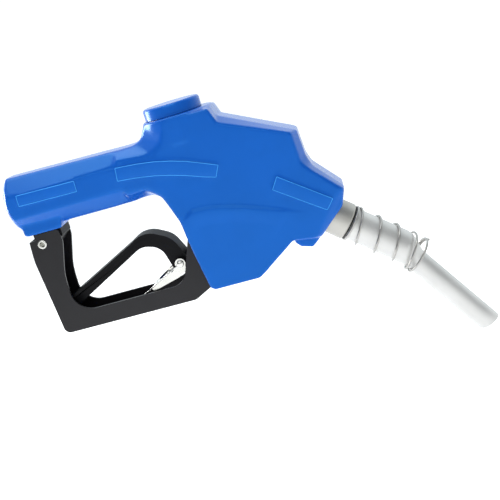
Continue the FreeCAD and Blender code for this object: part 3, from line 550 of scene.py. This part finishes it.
# ---- Hold-open clip -----------------------------------------------------------------------
CLIP_OUTLINE = [(136.2, -89.6, 2.5), (135.6, -98.5, 4), (127, -103.2, 6), (101.5, -109.6, 0.6),
                (99.6, -107, 0.6), (119.6, -95.2), (122.4, -97.2, 1), (127.2, -92.5, 1)]
BLADE_INNER, BLADE_OUTER = 9.9, 11.1
BLADE_HEAD_R = 4.8
clip = None
for low, high in ((-BLADE_OUTER, -BLADE_INNER), (BLADE_INNER, BLADE_OUTER)):
    blade = prism("blade", CLIP_OUTLINE, low, high, ZINC)
    head_profile = [(0, BLADE_HEAD_R), (high - low, BLADE_HEAD_R)]
    head = lathe("head", (CLIP_PIVOT.x, low, CLIP_PIVOT.z), ACROSS, head_profile, ZINC, 64, closed=False)
    combine(blade, [head], "UNION")
    clip = combine(clip, [blade], "UNION") if clip else blade
bar = prism("bar", [(101.5, -109.5), (99.8, -107), (104.5, -104.2), (110, -107.4)], -10.6, 10.6, ZINC)
combine(clip, [bar], "UNION")
clip.name = "clip_stamping"
soften(clip, 0.3, 40, 2)
place_piece(clip, "hold_open_clip")

pin_profile = [(-13.5, AXIS_GAP), (-13.4, 1.2), (-13.05, 2.4), (-12.75, 2.9), (-12.45, 2.9), (-12.4, 2.0),
               (12.5, 2.0), (12.6, 1.7), (12.6, AXIS_GAP)]
pin = lathe("clip_rivet", (CLIP_PIVOT.x, 0, CLIP_PIVOT.z), ACROSS, pin_profile, ZINC, 48)
smooth_by_angle(pin, 50)
place_piece(pin, "clip_pin")

# The clip's spring: two turns round the pin's end, then a straight leg.
TORSION_R = 2.9
TORSION_STEPS = 60
torsion_path = []
for k in range(TORSION_STEPS + 1):
    turn = math.radians(60 + 12 * k)
    torsion_path.append((CLIP_PIVOT.x + TORSION_R * math.cos(turn), -11.75 - 0.5 * k / TORSION_STEPS,
                         CLIP_PIVOT.z + TORSION_R * math.sin(turn)))
torsion_path += [(CLIP_PIVOT.x - 4.0, -11.9, CLIP_PIVOT.z - 1.6), (91.5, -11.8, -110.2)]
leg = wire("spring_leg", torsion_path, 0.5, SPRING)
place_piece(leg, "clip_spring")

# ---- Spout --------------------------------------------------------------------------------
collar_profile = [(-54, 10.0), (-54, 13.9), (-31.5, 13.95), (-31.3, 16.3), (-18.6, 16.6), (-15.2, 16.6),
                  (-14.0, 15.7), (-14.0, 12.0), (-40, 12.0), (-40, 10.0)]
collar = lathe("collar", SPOUT_ORIGIN, SPOUT_DIR, collar_profile, CAST, 96)
soften(collar, 0.3, 30, 2)
place_piece(collar, "spout_collar")

seal = lathe("shoulder_seal", SPOUT_ORIGIN, SPOUT_DIR,
             [(-14, 12), (-14, 15.3), (-13.8, 15.6), (-12.8, 15.6), (-12.6, 15.3), (-12.6, 12)], RUBBER, 96)
smooth_by_angle(seal, 40)
place_piece(seal, "spout_ring")

BASE_R, TIP_R, WALL, TIP_LENGTH = 14.6, 10.3, 1.6, 115.5
LIP_R = WALL / 2
LIP_SETBACK = 1.9


def hermite(s):
    """Weights of a start, its slope, an end and its slope, at s from 0 to 1 between them."""
    return (2 * s**3 - 3 * s**2 + 1, s**3 - 2 * s**2 + s, -2 * s**3 + 3 * s**2, s**3 - s**2)


def spout_rings(shrink):
    """Rings of the spout from its shoulder to just short of its tip, their radii reduced by shrink."""
    rings = [(spout_point(t), SPOUT_DIR, BASE_R - shrink) for t in (-12.6, -12.2, 5, 20, 32, 37)]
    start, end = spout_point(37), BEND + TIP_DIR * 25
    span = (end - start).length * 0.95
    for k in range(1, 17):
        s = k / 16
        at_start, out_of, at_end, into = hermite(s)
        centre = (start * at_start + SPOUT_DIR * (span * out_of)
                  + end * at_end + TIP_DIR * (span * into))
        axis = SPOUT_DIR.lerp(TIP_DIR, smooth_step(0, 1, s))
        radius = BASE_R + (TIP_R - BASE_R) * smooth_step(0.12, 0.95, s)
        rings.append((centre, axis, radius - shrink))
    rings += [(BEND + TIP_DIR * along, TIP_DIR, TIP_R - shrink) for along in (40, 60, 80, 100)]
    return rings


def end_rings():
    """The rounded lip at the tip, cut a little askew."""
    askew = (TIP_DIR + Vector((TIP_DIR.z, 0, -TIP_DIR.x)) * math.tan(math.radians(10))).normalized()
    face = BEND + TIP_DIR * (TIP_LENGTH - LIP_SETBACK)
    rings = []
    for k in range(7):
        turn = math.radians(30 * k)
        centre = face - askew * (LIP_R - LIP_R * math.sin(turn))
        rings.append((centre, askew, TIP_R - LIP_R + LIP_R * math.cos(turn)))
    return rings


outer_rings = spout_rings(0.0)
inner_rings = spout_rings(WALL)
spout = sweep("spout_pipe", outer_rings + end_rings() + inner_rings[::-1], TURNED, 96)
smooth_by_angle(spout, 40)
place_piece(spout, "spout_tube")

# The anchor spring: place along the spout for each half turn, from a closed coil to a closed coil.
COIL_PLACES = [(-3, -11.5), (-2, -11.4), (-1, -10.9), (0, -8.2), (1, 0.6), (2, 9.5), (3, 18.8), (4, 27.2),
               (5, 37.1), (6, 45.0), (7, 51.0), (8, 56.4), (9, 54.8), (10, 58.4)]
COIL_STEPS = 40
COIL_R, COIL_WIRE_R = 15.75, 1.0
END_SPREAD, END_SINK = 0.65, -2.0
spring_path = []
for index, ((half, t0), (_, t1)) in enumerate(zip(COIL_PLACES, COIL_PLACES[1:])):
    before = COIL_PLACES[index - 1][1] if index else t0
    after = COIL_PLACES[index + 2][1] if index + 2 < len(COIL_PLACES) else t1
    for k in range(COIL_STEPS):
        s = k / COIL_STEPS
        at_start, out_of, at_end, into = hermite(s)
        along = at_start * t0 + out_of * ((t1 - before) / 2) + at_end * t1 + into * ((after - t0) / 2)
        turn = math.pi * (half + s)
        settle = smooth_step(36, 57, along)
        radius = COIL_R + END_SPREAD * settle
        spring_path.append(spout_point(along, END_SINK * settle) + SPOUT_UP * (radius * math.cos(turn))
                           - ACROSS * (radius * math.sin(turn)))
anchor = wire("anchor_spring", spring_path, COIL_WIRE_R, WIRE, 16)
place_piece(anchor, "spout_spring")

# ---- Stage, light and camera --------------------------------------------------------------
FLOOR_DROP = 0.06
floor_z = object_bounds()[0].z - FLOOR_DROP
bpy.ops.mesh.primitive_plane_add(size=30, location=(0.2, 0, floor_z))
floor = bpy.context.object
floor.name = "floor"
floor_paint = bpy.data.materials.new("floor_paint")
floor_paint.use_nodes = True
paint = floor_paint.node_tree.nodes["Principled BSDF"]
paint.inputs["Base Color"].default_value = (0.9, 0.9, 0.9, 1)
paint.inputs["Roughness"].default_value = 0.9
paint.inputs["Emission Color"].default_value = (1, 1, 1, 1)
paint.inputs["Emission Strength"].default_value = 0.5
floor.data.materials.append(floor_paint)

# The room is a soft dome that brightens towards the far side of the object.
world = bpy.data.worlds.new("studio")
bpy.context.scene.world = world
world.use_nodes = True
sky = world.node_tree
sky_place = sky.nodes.new("ShaderNodeTexCoord")
sky_axes = sky.nodes.new("ShaderNodeSeparateXYZ")
sky.links.new(sky_place.outputs["Generated"], sky_axes.inputs["Vector"])
sky_ramp = sky.nodes.new("ShaderNodeMapRange")
sky.nodes["Background"].inputs["Color"].default_value = (0.88, 0.96, 1.0, 1)
sky_ramp.inputs["From Min"].default_value = -0.25
sky_ramp.inputs["From Max"].default_value = 0.35
sky_ramp.inputs["To Min"].default_value = 0.25
sky_ramp.inputs["To Max"].default_value = 1.2
sky.links.new(sky_axes.outputs["Y"], sky_ramp.inputs["Value"])
sky.links.new(sky_ramp.outputs["Result"], sky.nodes["Background"].inputs["Strength"])


def area_light(name, location, target, size, power):
    data = bpy.data.lights.new(name, "AREA")
    data.shape = "RECTANGLE"
    data.size, data.size_y = size
    data.energy = power
    lamp = bpy.data.objects.new(name, data)
    bpy.context.scene.collection.objects.link(lamp)
    lamp.location = location
    lamp.rotation_euler = (Vector(target) - Vector(location)).to_track_quat("-Z", "Y").to_euler()


CENTRE = Vector((0.195, 0, -0.09))
area_light("key", (0.05, -0.15, 0.85), CENTRE, (1.0, 0.5), 5)
area_light("front", (0.1, -1.3, 0.5), CENTRE, (1.2, 0.5), 3)
area_light("left", (-0.85, 0.35, 0.15), (0.1, 0, 0), (0.45, 0.6), 11)

CAMERA_AT = Vector((0.290, -0.700, 0.084))
CAMERA_TARGET = Vector((0.195, 0, -0.0985))
CAMERA_ROLL = math.radians(-17)
camera_data = bpy.data.cameras.new("camera")
camera = bpy.data.objects.new("camera", camera_data)
bpy.context.scene.collection.objects.link(camera)
camera.location = CAMERA_AT
ahead = (CAMERA_TARGET - CAMERA_AT).normalized()
right = ahead.cross(UP).normalized()
upward = right.cross(ahead)
rolled_right = right * math.cos(CAMERA_ROLL) + upward * math.sin(CAMERA_ROLL)
rolled_up = -right * math.sin(CAMERA_ROLL) + upward * math.cos(CAMERA_ROLL)
camera.rotation_mode = "QUATERNION"
camera.rotation_quaternion = Matrix((rolled_right, rolled_up, -ahead)).transposed().to_quaternion()
camera_data.lens = 57.8
camera_data.sensor_width = 36
camera_data.clip_start, camera_data.clip_end = 0.01, 60
bpy.context.scene.camera = camera
bpy.context.scene.view_settings.view_transform = "Standard"
